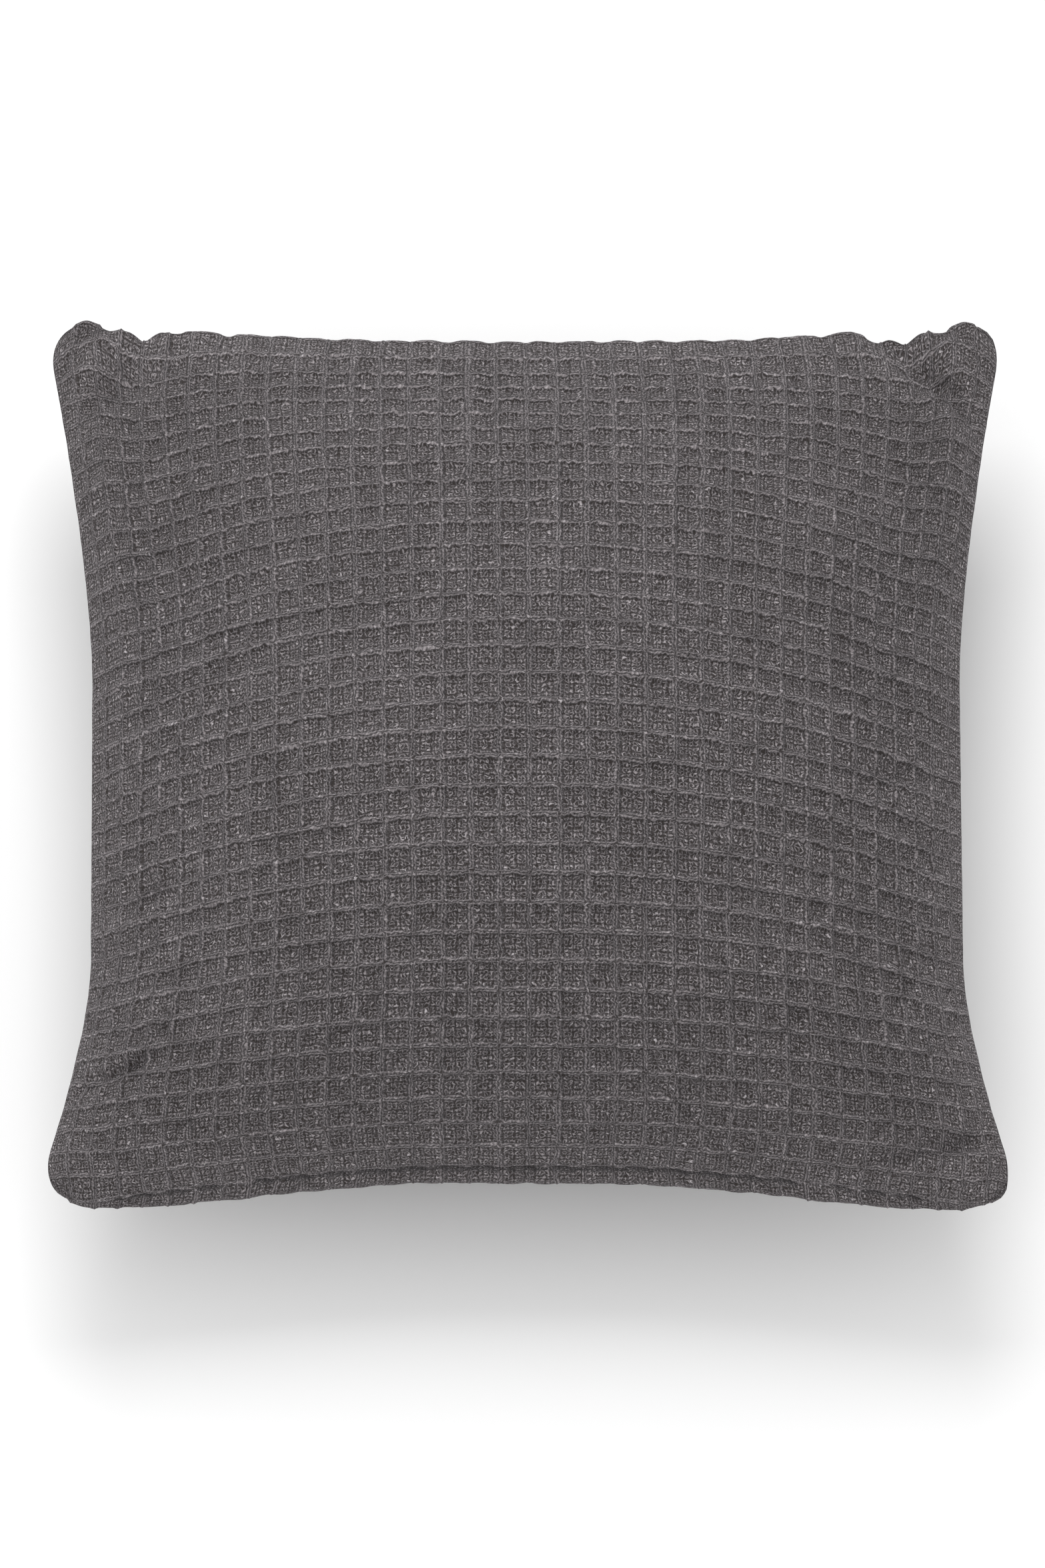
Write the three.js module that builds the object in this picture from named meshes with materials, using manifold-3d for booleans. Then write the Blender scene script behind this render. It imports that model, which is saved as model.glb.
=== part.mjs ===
// Throw pillow: a zipped cover of honeycomb cloth over a stuffed insert, as it lies filled.
// Millimetres, +Z up. The pillow lies on its back panel, with the origin on that surface under its middle.
// The seam between the two panels lies in one level plane, and the zip is in the seam at +Y.

import * as THREE from 'three';
import { mergeVertices } from 'three/addons/utils/BufferGeometryUtils.js';
import Module from 'manifold-3d';

const manifold = await Module();
manifold.setup();

// Outline of the filled cover, at its seam
const COVER_REACH = 218.5; // middle to corner, along X and along Y
const SIDE_DRAW = 19.5; // how far the seams at -X and +X are drawn in between their corners
const END_DRAW = 16; // the same for the seams at -Y and +Y
const CLOSED_STRAIGHT = 60; // half of the straight stretch of the seams at -X, +X and -Y
const PAST_ZIP = 14; // how far the seam at +Y stays straight past each end of the zip
const FLARE_POWER = 1.5; // how sharply a seam flares from its straight stretch to its corners

// Heights of the filled cover, from the seam plane
const FRONT_HEIGHT = 98;
const BACK_HEIGHT = 88;
const REST_FLAT = 8; // how much of the back panel's crown is pressed flat by what it lies on

// Cloth and seams
const CLOTH = 2.4; // thickness of the honeycomb cloth
const TICKING = 0.8; // thickness of the insert's cloth
const SEAM_GAP = 1; // between the two allowances, where the stitches run
const COVER_ALLOWANCE = 12; // seam line to raw edge
const INSERT_ALLOWANCE = 6;
const FOLD_ROLL = 1.2; // how far the cloth rolls back above and below the seam line
const THREAD = 0.4; // thickness of a run of stitches
const THREAD_BAND = 1; // width of a run of stitches
const STITCH_INSET = 6.5; // seam line to the closing stitches of the cover
const INSERT_STITCH_INSET = 3;
const OVERLOCK_REACH = 3; // how far the overlock covers each raw edge
const OVERLOCK = 0.5; // its thickness

// Zip, in the straight stretch of the +Y seam
const ZIP_LENGTH = 320;
const ZIP_GAP = 2.8; // between the two allowances beside the zip
const TAPE = 0.6;
const TAPE_WIDTH = 8;
const TOOTH_PITCH = 5;
const TOOTH_GAP = 0.4; // between a tooth and its neighbour on the other row
const TEETH_INSET = 3; // seam line to the outer face of the teeth
const TEETH_DEPTH = 2;
const TEETH_HEIGHT = 2; // of the closed chain, both rows together
const TEETH_SPINE = 0.4;
const STOP_LENGTH = 3;
const ZIP_STITCH_INSET_FRONT = 7;
const ZIP_STITCH_INSET_BACK = 9;

// Slider and pull
const SLIDER_LENGTH = 10;
const SLIDER_DEPTH = 2;
const SLIDER_WIDTH = 7;
const SLIDER_CLEARANCE = 0.5; // between the slider and the folded edges that it runs over
const TONGUE_LENGTH = 7;
const PIN_RADIUS = 0.55;
const PIN_HEIGHT = 1.9; // slider's face to the pin's axis
const POST_LENGTH = 3.2;
const POST_THICKNESS = 0.9;
const POST_GAP = 4.4; // between the two posts that hold the pin
const PULL_LENGTH = 24;
const PULL_WIDTH = 7;
const PULL_THICKNESS = 1;
const PULL_WIDE_FROM = 2.8; // pin's axis to where the pull widens
const EYE_WALL = 0.65;
const PIN_CLEARANCE = 0.35;

// Insert, filling and label
const INSERT_EDGE_CLEARANCE = 1.5; // between the insert's seam and the overlocked edges round it
const INSERT_TAPE_CLEARANCE = 1; // between the insert's seam and the zip's tapes
const INSERT_CLEARANCE = 3.5; // between the insert and the cover above and below it
const FILLING_CLEARANCE = 2.5;
const LABEL_WIDTH = 28;
const LABEL_DROP = 20;
const LABEL = 0.4;
const LABEL_Y = -28; // where the label is along the -X seam
const FIT = 0.3; // clearance between pieces that touch

// Fineness of the rings round each soft piece
const COVER_AROUND = 64;
const COVER_RINGS = 8;
const INSERT_AROUND = 40;
const INSERT_RINGS = 5;

// Worked out from the sizes above
const ZIP_STRAIGHT = ZIP_LENGTH / 2 + PAST_ZIP;
const COVER_FOOT = ZIP_GAP / 2 + CLOTH + FIT; // where a panel's inner face starts, above its allowance
const INSERT_FOOT = SEAM_GAP / 2 + TICKING + FIT;
const COVER_INNER_INSET = FOLD_ROLL + CLOTH;
const TAPE_INSET = TEETH_INSET + TEETH_DEPTH + FIT; // seam line to the tapes' outer edges
const CLEARS_EDGES = COVER_ALLOWANCE + FIT + OVERLOCK + INSERT_EDGE_CLEARANCE;
const CLEARS_TAPES = TAPE_INSET + TAPE_WIDTH + INSERT_TAPE_CLEARANCE;
const INSERT_INSET = Math.max(CLEARS_EDGES, CLEARS_TAPES); // the cover's seam line to the insert's
const COVER_STEP = 8 / COVER_AROUND; // from one point to the next along a side, which is 2 long
const SEAM_LEVEL = BACK_HEIGHT - REST_FLAT;
const ZIP_LINE = COVER_REACH - END_DRAW; // Y of the seam line along the zip
const CLOSED_X = ZIP_LENGTH / 2 - STOP_LENGTH - SLIDER_LENGTH / 2;

const pillow = new THREE.Group();
pillow.name = 'throw_pillow';

const COTTON = new THREE.MeshStandardMaterial({ color: 0x5b5657, roughness: 0.95, metalness: 0 });
const THREAD_FINISH = new THREE.MeshStandardMaterial({ color: 0x4a4647, roughness: 0.8, metalness: 0 });
const TAPE_FINISH = new THREE.MeshStandardMaterial({ color: 0x3f3c3e, roughness: 0.85, metalness: 0 });
const NYLON = new THREE.MeshStandardMaterial({ color: 0x353335, roughness: 0.45, metalness: 0 });
const METAL = new THREE.MeshStandardMaterial({ color: 0x4b4a4c, roughness: 0.35, metalness: 1 });
const LABEL_FINISH = new THREE.MeshStandardMaterial({ color: 0xe9e6df, roughness: 0.7, metalness: 0 });
const TICKING_FINISH = new THREE.MeshStandardMaterial({ color: 0xeceae4, roughness: 0.9, metalness: 0 });
const FIBRE = new THREE.MeshStandardMaterial({ color: 0xf4f3ef, roughness: 1, metalness: 0 });

// Puts one piece in the pillow, with heights measured from the seam plane.
function add(name, geometry, material) {
  const mesh = new THREE.Mesh(geometry, material.clone());
  mesh.name = name;
  mesh.position.z = SEAM_LEVEL;
  pillow.add(mesh);
}

// From 0 on a seam's straight stretch to 1 at its corners.
function flare(along, straight) {
  const past = Math.max(0, Math.abs(along) - straight) / (COVER_REACH - straight);
  return past ** FLARE_POWER;
}

// Place in the seam plane of a point (u, v), each from -1 to 1, on an outline drawn in by inset.
function plan(u, v, inset) {
  const across = Math.sin((u * Math.PI) / 2);
  const along = Math.sin((v * Math.PI) / 2);
  const endStraight = v > 0 ? ZIP_STRAIGHT : CLOSED_STRAIGHT;
  const sideDraw = SIDE_DRAW * (1 - flare(COVER_REACH * along, CLOSED_STRAIGHT));
  const endDraw = END_DRAW * (1 - flare(COVER_REACH * across, endStraight));
  return [(COVER_REACH - inset - sideDraw) * across, (COVER_REACH - inset - endDraw) * along];
}

// Point (u, v) on the edge of a square, at a share of the way round it. The corners are at the quarters.
function roundSquare(share) {
  const quarter = Math.floor(share * 4) % 4;
  const t = (share * 4 - Math.floor(share * 4)) * 2 - 1;
  return [[1, t], [-t, 1], [-1, -t], [t, -1]][quarter];
}

// Half of the gap between the two allowances of the cover. It is wider beside the zip, up to the first
// point past the zip's end.
function halfGap(u, v) {
  const pointBefore = Math.max(0, Math.abs(u) - COVER_STEP);
  const besideZip = v === 1 && COVER_REACH * Math.sin((pointBefore * Math.PI) / 2) < ZIP_LENGTH / 2;
  return (besideZip ? ZIP_GAP : SEAM_GAP) / 2;
}

// A station on the crowned face of a soft piece: one ring, a share of the way from the middle to the seam.
function crowned(ring, inset, foot, height, flat) {
  const crown = height - foot;
  return (u, v) => {
    const rise = crown * Math.cos((ring * u * Math.PI) / 2) * Math.cos((ring * v * Math.PI) / 2);
    return [...plan(ring * u, ring * v, inset), foot + Math.min(rise, crown - flat)];
  };
}

// A station along the seam's edge, at a height of its own.
function edge(inset, height) {
  return (u, v) => [...plan(u, v, inset), height(u, v)];
}

// Closes a run of stations round the pillow: a lathe whose round rings are drawn out to the square outline.
// side is 1 above the seam plane and -1 below it.
function quilted(stations, around, side) {
  const section = stations.map((_, i) => new THREE.Vector2(i, i));
  const geometry = new THREE.LatheGeometry(section, around);
  const position = geometry.getAttribute('position');
  for (let n = 0; n < position.count; n += 1) {
    const share = Math.floor(n / stations.length) / around;
    const [u, v] = roundSquare(share);
    const [x, y, z] = stations[n % stations.length](u, v);
    position.setXYZ(n, x, y, z * side);
  }
  return side > 0 ? reversed(geometry) : geometry;
}

// The same surface with its faces turned the other way.
function reversed(geometry) {
  const order = geometry.getIndex();
  for (let n = 0; n < order.count; n += 3) {
    const first = order.getX(n);
    order.setX(n, order.getX(n + 2));
    order.setX(n + 2, first);
  }
  return geometry;
}

// Half of a sewn case: a crowned wall whose edge rolls in at the seam and ends in a flat allowance.
function sewnHalf({ inset, wall, allowance, foot, height, flat, gap, rings, around, side }) {
  const outer = (i) => crowned(i / rings, inset + FOLD_ROLL, foot + wall, height, flat);
  const inner = (i) => crowned(i / rings, inset + FOLD_ROLL + wall, foot, height - wall, flat);
  const shares = Array.from({ length: rings + 1 }, (_, i) => i);
  const stations = [
    ...shares.map(outer),
    edge(inset, (u, v) => (gap(u, v) + foot + wall) / 2),
    edge(inset + FOLD_ROLL, gap),
    edge(inset + allowance, gap),
    edge(inset + allowance, (u, v) => gap(u, v) + wall),
    edge(inset + FOLD_ROLL + wall, (u, v) => gap(u, v) + wall),
    ...shares.reverse().map(inner),
  ];
  return quilted(stations, around, side);
}

// A flat band beside the seam, between two insets, over the shares of the way round it from start to end.
function band(nearInset, farInset, start, end, low, high) {
  const steps = Math.round((end - start) * COVER_AROUND);
  const shares = Array.from({ length: steps + 1 }, (_, i) => start + ((end - start) * i) / steps);
  const place = (inset) => (share) => new THREE.Vector2(...plan(...roundSquare(share), inset));
  const outline = [...shares.map(place(nearInset)), ...shares.reverse().map(place(farInset))];
  const options = { depth: high - low, bevelEnabled: false };
  return new THREE.ExtrudeGeometry(new THREE.Shape(outline), options).translate(0, 0, low);
}

// A block between two corners.
function block(low, high) {
  const size = high.map((value, axis) => value - low[axis]);
  const geometry = new THREE.BoxGeometry(...size);
  return geometry.translate(...low.map((value, axis) => value + size[axis] / 2));
}

// A rod along Z, its ends at two heights.
function rod(radius, x, y, low, high) {
  const geometry = new THREE.CylinderGeometry(radius, radius, high - low, 24);
  return geometry.rotateX(Math.PI / 2).translate(x, y, (low + high) / 2);
}

// A closed mesh as a solid that can be joined and cut.
function solid(geometry) {
  const bare = geometry.clone();
  bare.deleteAttribute('normal');
  bare.deleteAttribute('uv');
  const merged = mergeVertices(bare);
  const vertProperties = Float32Array.from(merged.getAttribute('position').array);
  const triVerts = Uint32Array.from(merged.getIndex().array);
  return new manifold.Manifold(new manifold.Mesh({ numProp: 3, vertProperties, triVerts }));
}

// The mesh of a joined or cut solid.
function meshed(body) {
  const { vertProperties, triVerts } = body.getMesh();
  const geometry = new THREE.BufferGeometry();
  geometry.setAttribute('position', new THREE.BufferAttribute(vertProperties, 3));
  geometry.setIndex(new THREE.BufferAttribute(triVerts, 1));
  return geometry;
}

// The two panels of the cover, the stitches that close them and the overlock on their raw edges.
function cover() {
  const panel = { inset: 0, wall: CLOTH, allowance: COVER_ALLOWANCE, foot: COVER_FOOT, gap: halfGap };
  const fineness = { rings: COVER_RINGS, around: COVER_AROUND };
  const front = sewnHalf({ ...panel, ...fineness, height: FRONT_HEIGHT, flat: 0, side: 1 });
  const back = sewnHalf({ ...panel, ...fineness, height: BACK_HEIGHT, flat: REST_FLAT, side: -1 });
  add('cover_front_panel', front, COTTON);
  add('cover_back_panel', back, COTTON);

  // The closed seams run from one end of the zip round the other three sides to its other end.
  const pastZip = 2 / COVER_AROUND; // two points past each corner
  const start = 0.5 - pastZip;
  const end = 1.25 + pastZip;
  const stitches = band(STITCH_INSET, STITCH_INSET + THREAD_BAND, start, end, -THREAD / 2, THREAD / 2);
  add('cover_seam_thread', stitches, THREAD_FINISH);

  const edgeHeight = SEAM_GAP / 2 + CLOTH + FIT;
  const rawEdge = COVER_ALLOWANCE + FIT;
  const shell = [COVER_ALLOWANCE - OVERLOCK_REACH, rawEdge + OVERLOCK];
  const over = band(...shell, 0.5, 1.25, -edgeHeight - OVERLOCK, edgeHeight + OVERLOCK);
  const room = band(shell[0] - 1, rawEdge, 0.5 - pastZip, 1.25 + pastZip, -edgeHeight, edgeHeight);
  add('cover_overlock_thread', meshed(solid(over).subtract(solid(room))), THREAD_FINISH);
}

// One row of teeth: a comb whose teeth reach across the middle between those of the other row.
function teeth(side) {
  const half = ZIP_LENGTH / 2 - STOP_LENGTH - FIT;
  const count = Math.floor((2 * half) / TOOTH_PITCH);
  const top = TEETH_HEIGHT / 2;
  const root = top - TEETH_SPINE;
  const tip = FIT - root;
  const width = TOOTH_PITCH / 2 - TOOTH_GAP;
  const first = -((count - 1) * TOOTH_PITCH) / 2 + (side * TOOTH_PITCH) / 4;
  const comb = new THREE.Shape();
  comb.moveTo(half, root);
  comb.lineTo(half, top);
  comb.lineTo(-half, top);
  comb.lineTo(-half, root);
  for (let n = 0; n < count; n += 1) {
    const x = first + n * TOOTH_PITCH;
    comb.lineTo(x - width / 2, root);
    comb.lineTo(x - width / 2, tip);
    comb.lineTo(x + width / 2, tip);
    comb.lineTo(x + width / 2, root);
  }
  const geometry = new THREE.ExtrudeGeometry(comb, { depth: TEETH_DEPTH, bevelEnabled: false });
  geometry.rotateX(Math.PI / 2).translate(0, ZIP_LINE - TEETH_INSET, 0);
  return side > 0 ? geometry : reversedCopy(geometry);
}

// A piece turned over into the other side of the seam plane.
function reversedCopy(geometry) {
  const merged = mergeVertices(geometry);
  return reversed(merged.scale(1, 1, -1));
}

// The zip's tapes, teeth, stitching and end stops.
function zip() {
  const end = ZIP_LENGTH / 2;
  const tapeTop = ZIP_GAP / 2 - FIT;
  const tapeEdge = ZIP_LINE - TAPE_INSET;
  const tape = block([-end, tapeEdge - TAPE_WIDTH, tapeTop - TAPE], [end, tapeEdge, tapeTop]);
  add('zip_tape_front', tape, TAPE_FINISH);
  add('zip_tape_back', tape.clone().rotateY(Math.PI), TAPE_FINISH);
  add('zip_teeth_front', teeth(1), NYLON);
  add('zip_teeth_back', teeth(-1), NYLON);

  const stitchLine = (inset) => {
    const y = ZIP_LINE - inset;
    return block([-end, y - THREAD_BAND / 2, -THREAD / 2], [end, y + THREAD_BAND / 2, THREAD / 2]);
  };
  add('zip_stitching_front', stitchLine(ZIP_STITCH_INSET_FRONT), THREAD_FINISH);
  add('zip_stitching_back', stitchLine(ZIP_STITCH_INSET_BACK), THREAD_FINISH);

  const stopFace = ZIP_LINE - TEETH_INSET;
  const stopLow = [end - STOP_LENGTH, stopFace - TEETH_DEPTH, -TEETH_HEIGHT / 2];
  const stop = block(stopLow, [end, stopFace, TEETH_HEIGHT / 2]);
  add('zip_top_stop', stop, METAL);
  add('zip_bottom_stop', stop.clone().translate(STOP_LENGTH - 2 * end, 0, 0), METAL);
}

// The slider: a body over the two folded edges, a tongue between them, and two posts that hold the pin
// that the pull turns on.
function slider() {
  const face = ZIP_LINE + SLIDER_CLEARANCE;
  const top = face + SLIDER_DEPTH;
  const halfLength = SLIDER_LENGTH / 2;
  const halfWidth = SLIDER_WIDTH / 2;
  const body = block([-halfLength, face, -halfWidth], [halfLength, top, halfWidth]);
  const tongueHalf = ZIP_GAP / 2 - FIT;
  const tongueFoot = ZIP_LINE - TEETH_INSET + FIT;
  const tongueEnd = TONGUE_LENGTH / 2;
  const tongue = block([-tongueEnd, tongueFoot, -tongueHalf], [tongueEnd, face + 1, tongueHalf]);
  const postTop = top + PIN_HEIGHT + PIN_RADIUS + POST_THICKNESS / 2;
  const postOuter = POST_GAP / 2 + POST_THICKNESS;
  const posts = block([-POST_LENGTH / 2, top - 1, -postOuter], [POST_LENGTH / 2, postTop, postOuter]);
  const between = block([-POST_LENGTH, top, -POST_GAP / 2], [POST_LENGTH, postTop + 1, POST_GAP / 2]);
  const pin = rod(PIN_RADIUS, 0, top + PIN_HEIGHT, -postOuter + FIT, postOuter - FIT);
  const whole = solid(body).add(solid(tongue)).add(solid(posts).subtract(solid(between))).add(solid(pin));
  add('zip_slider', meshed(whole).translate(CLOSED_X, 0, 0), METAL);

  const axis = top + PIN_HEIGHT;
  const eyeHalf = POST_GAP / 2 - FIT;
  const eyeRadius = PIN_RADIUS + PIN_CLEARANCE + EYE_WALL;
  const eye = rod(eyeRadius, 0, axis, -eyeHalf, eyeHalf);
  const low = axis - PULL_THICKNESS / 2;
  const high = axis + PULL_THICKNESS / 2;
  const neck = block([-PULL_WIDE_FROM - 1, low, -eyeHalf], [0, high, eyeHalf]);
  const roundEnd = PULL_WIDTH / 2;
  const plate = block([roundEnd - PULL_LENGTH, low, -roundEnd], [-PULL_WIDE_FROM, high, roundEnd]);
  const tip = new THREE.CylinderGeometry(roundEnd, roundEnd, PULL_THICKNESS, 24);
  tip.translate(roundEnd - PULL_LENGTH, axis, 0);
  const hole = rod(PIN_RADIUS + PIN_CLEARANCE, 0, axis, -POST_GAP, POST_GAP);
  const pull = solid(eye).add(solid(neck)).add(solid(plate)).add(solid(tip)).subtract(solid(hole));
  add('zip_pull', meshed(pull).translate(CLOSED_X, 0, 0), METAL);
}

// A blank label that hangs from the -X seam's lower allowance, in the space between cover and insert.
function label() {
  const seamLine = COVER_REACH - SIDE_DRAW;
  const low = -(SEAM_GAP / 2 + CLOTH + FIT + LABEL);
  const start = COVER_INNER_INSET + 1;
  const bend = COVER_ALLOWANCE - OVERLOCK_REACH - FIT - LABEL;
  const depth = -low + LABEL_DROP;
  const crown = BACK_HEIGHT - CLOTH - COVER_FOOT;
  const wallShare = Math.sqrt(1 - ((depth - COVER_FOOT) / crown) ** 2);
  const foot = seamLine - (seamLine - COVER_INNER_INSET) * wallShare + INSERT_INSET / 3;
  const outline = [
    [start, low],
    [bend, low],
    [foot, -depth],
    [foot + LABEL, -depth],
    [bend + LABEL, low + LABEL],
    [start, low + LABEL],
  ];
  const shape = new THREE.Shape(outline.map(([inset, z]) => new THREE.Vector2(inset - seamLine, z)));
  const geometry = new THREE.ExtrudeGeometry(shape, { depth: LABEL_WIDTH, bevelEnabled: false });
  add('care_label', geometry.rotateX(Math.PI / 2).translate(0, LABEL_Y + LABEL_WIDTH / 2, 0), LABEL_FINISH);
}

// The insert: two sewn halves of plain cloth, the stitches that close them, and the fibre inside.
function insert() {
  const gap = () => SEAM_GAP / 2;
  const half = { inset: INSERT_INSET, wall: TICKING, allowance: INSERT_ALLOWANCE, foot: INSERT_FOOT, gap };
  const fineness = { rings: INSERT_RINGS, around: INSERT_AROUND };
  const inside = CLOTH + INSERT_CLEARANCE;
  const front = { height: FRONT_HEIGHT - inside, flat: 0, side: 1 };
  const back = { height: BACK_HEIGHT - inside, flat: REST_FLAT, side: -1 };
  add('insert_front_ticking', sewnHalf({ ...half, ...fineness, ...front }), TICKING_FINISH);
  add('insert_back_ticking', sewnHalf({ ...half, ...fineness, ...back }), TICKING_FINISH);

  const near = INSERT_INSET + INSERT_STITCH_INSET;
  const closing = band(near, near + THREAD_BAND, 0, 1 - 1 / COVER_AROUND, -THREAD / 2, THREAD / 2);
  add('insert_seam_thread', closing, THREAD_FINISH);

  const clear = TICKING + FILLING_CLEARANCE;
  const fillInset = INSERT_INSET + INSERT_ALLOWANCE + FILLING_CLEARANCE;
  const upper = (i) => crowned(i / INSERT_RINGS, fillInset, SEAM_GAP, front.height - clear, 0);
  const lower = (i) => {
    const station = crowned(i / INSERT_RINGS, fillInset, SEAM_GAP, back.height - clear, REST_FLAT);
    return (u, v) => {
      const [x, y, z] = station(u, v);
      return [x, y, -z];
    };
  };
  const rings = Array.from({ length: INSERT_RINGS + 1 }, (_, i) => i);
  const stations = [...rings.map(upper), ...rings.reverse().map(lower)];
  add('fibre_filling', quilted(stations, INSERT_AROUND, 1), FIBRE);
}

cover();
zip();
slider();
label();
insert();

export default pillow;
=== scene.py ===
import math

import bmesh
import bpy
import numpy as np
from bpy.props import FloatProperty, FloatVectorProperty, IntProperty, PointerProperty
from bpy.types import Operator, Panel, PropertyGroup
from mathutils import Matrix, Vector


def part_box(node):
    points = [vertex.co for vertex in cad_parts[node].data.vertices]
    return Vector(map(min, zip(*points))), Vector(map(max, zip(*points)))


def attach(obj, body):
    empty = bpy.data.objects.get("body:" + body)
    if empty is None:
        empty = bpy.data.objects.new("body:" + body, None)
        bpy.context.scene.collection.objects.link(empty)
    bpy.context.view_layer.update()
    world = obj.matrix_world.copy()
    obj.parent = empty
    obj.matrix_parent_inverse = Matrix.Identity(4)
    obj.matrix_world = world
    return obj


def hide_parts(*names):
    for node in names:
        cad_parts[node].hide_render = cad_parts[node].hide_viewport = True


bl_info = {
    "name": "Throw Pillow",
    "version": (1, 0, 0),
    "blender": (4, 5, 0),
    "location": "3D View > Sidebar > Pillow",
    "description": "Makes a filled throw pillow in honeycomb cloth, with its zip and its insert",
    "category": "Add Mesh",
}

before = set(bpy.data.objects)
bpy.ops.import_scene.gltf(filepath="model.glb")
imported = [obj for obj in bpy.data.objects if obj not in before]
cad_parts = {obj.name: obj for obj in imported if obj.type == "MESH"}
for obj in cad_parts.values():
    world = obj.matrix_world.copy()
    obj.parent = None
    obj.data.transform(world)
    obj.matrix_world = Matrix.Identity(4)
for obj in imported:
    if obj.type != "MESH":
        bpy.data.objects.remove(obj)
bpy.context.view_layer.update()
COVER_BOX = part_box("cover_front_panel")
BACK_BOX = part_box("cover_back_panel")
TAPE_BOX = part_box("zip_tape_front")

MM = 0.001
REACH = COVER_BOX[1][0]  # middle to corner, along X and along Y
SEAM_Z = (COVER_BOX[0][2] + BACK_BOX[1][2]) / 2  # height of the seam's plane
FRONT_CROWN = COVER_BOX[1][2] - SEAM_Z
BACK_CROWN = SEAM_Z - BACK_BOX[0][2]
TAPE_INSET = 5.3 * MM  # the seam line to the zip's tapes
PAST_ZIP = 14 * MM  # how far the seam stays straight past each end of the zip
ZIP_Y = TAPE_BOX[1][1] + TAPE_INSET  # the seam line along the zip
ZIP_STRAIGHT = (TAPE_BOX[1][0] - TAPE_BOX[0][0]) / 2 + PAST_ZIP  # half of the seam's straight stretch there
SIDE_STRAIGHT = 40 * MM  # the same for the side seams, towards the zip
SIDE_LOW_STRAIGHT = 105 * MM  # and away from it
END_STRAIGHT = 40 * MM  # the same for the seam across from the zip
CORNER_START = 200 * MM  # where the seams have flared out to the corners
FLARE_POWER = 1.5
INNER_AT_SEAM = 0.8 * MM  # the simulated cloth to the cover's inner face, at the seam
INNER_DEPTH = 2.4 * MM  # and away from it
INNER_FADE = 9 * MM  # from the seam to where that depth is reached
RELIEF_FADE = 6 * MM  # from the seam, where there is no relief, to where it begins
RELIEF_PRESSED = 40 * MM  # tension flattens the relief this far in from the seam
BY_SEAM = 0.2  # what is left of the relief beside the seam
SEAM_ROLL = 5 * MM  # from the seam to where the cloth has its full thickness
PUCKER_REACH = 14 * MM  # how far the puckers in plain cloth run in from its seam
FOLD_DEPTH = 0.8 * MM
START_PUFF = 9 * MM  # how far apart the panels are before they are filled
FLOOR = BACK_BOX[0][2]
PRESSED = 8 * MM  # how much of the back's crown the floor presses flat
COVER_FLOOR = 0.2 * MM  # how far above the floor the back panel's outer face stays
COVER_INNER_FLOOR = 3.4 * MM  # the same for its inner face
ROLL_PEAK = 13 * MM  # from the seam to where the cloth beside it stands out furthest
CLEFT = 8 * MM  # the cloth is held back this far above the zip, where the slider and its pull run
INSERT_INSET = 16 * MM  # the cover's seam to the insert's
INSERT_UNDER = 5 * MM  # the cover's crown to the insert's
INSERT_FLOOR = 5.2 * MM  # how far above the floor it stays
TICKING_WALL = 2.4 * MM  # from the mean face of the insert's cloth to its inner face
FILLING_INSET = 25 * MM  # the same three distances for the filling
FILLING_UNDER = 8.5 * MM
FILLING_FLOOR = 9 * MM
PRESS_SOFT = 3 * MM  # height over which cloth flattens onto the floor
PICTURE_ASPECT = 1.50064  # height over width of the picture


# ---------------------------------------------------------------- settings


class PillowCloth(PropertyGroup):
    """Sizes of the cover's cloth and of its seams."""

    flat_size: FloatProperty(
        name="Flat size", description="Side of each square panel, seam to seam", default=0.45,
        unit="LENGTH"
    )
    corner_radii: FloatVectorProperty(
        name="Corner radii",
        description="Rounding of the sewn corners: right and left beside the zip, then across from it",
        size=4, default=(0.017, 0.023, 0.012, 0.018), unit="LENGTH"
    )
    cells: IntProperty(
        name="Cells", description="Honeycomb cells along each side of a panel", default=36, min=1
    )
    yarns: IntProperty(
        name="Yarns per cell", description="Yarns across one honeycomb cell", default=10, min=4
    )
    relief: FloatProperty(
        name="Relief", description="Height from the pit of a cell to its ridge", default=0.003,
        unit="LENGTH"
    )
    thickness: FloatProperty(
        name="Thickness", description="Thickness of the cloth under its relief", default=0.0016,
        unit="LENGTH"
    )
    side_draw: FloatProperty(
        name="Side draw", description="How far the side seams are drawn in", default=0.0195, unit="LENGTH"
    )
    end_reach: FloatProperty(
        name="End reach", description="How much further the corners reach along Y than X", default=0.0025,
        unit="LENGTH"
    )
    stretch: FloatProperty(
        name="Stretch", description="How much wider the cells are in the middle of the panel", default=0.16
    )
    seam_stretch: FloatProperty(
        name="Seam stretch", description="How much wider the cells are in the middle of a seam",
        default=0.06
    )
    zip_roll: FloatProperty(
        name="Roll at the zip", description="How far the front panel rolls out over the zip", default=0.01,
        unit="LENGTH"
    )
    end_roll: FloatProperty(
        name="Roll of the back", description="How far the back panel rolls out past its end seams",
        default=0.0105, unit="LENGTH"
    )
    slack: FloatProperty(
        name="Slack", description="Share of spare cloth that is gathered along the seams", default=0.02
    )


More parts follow.
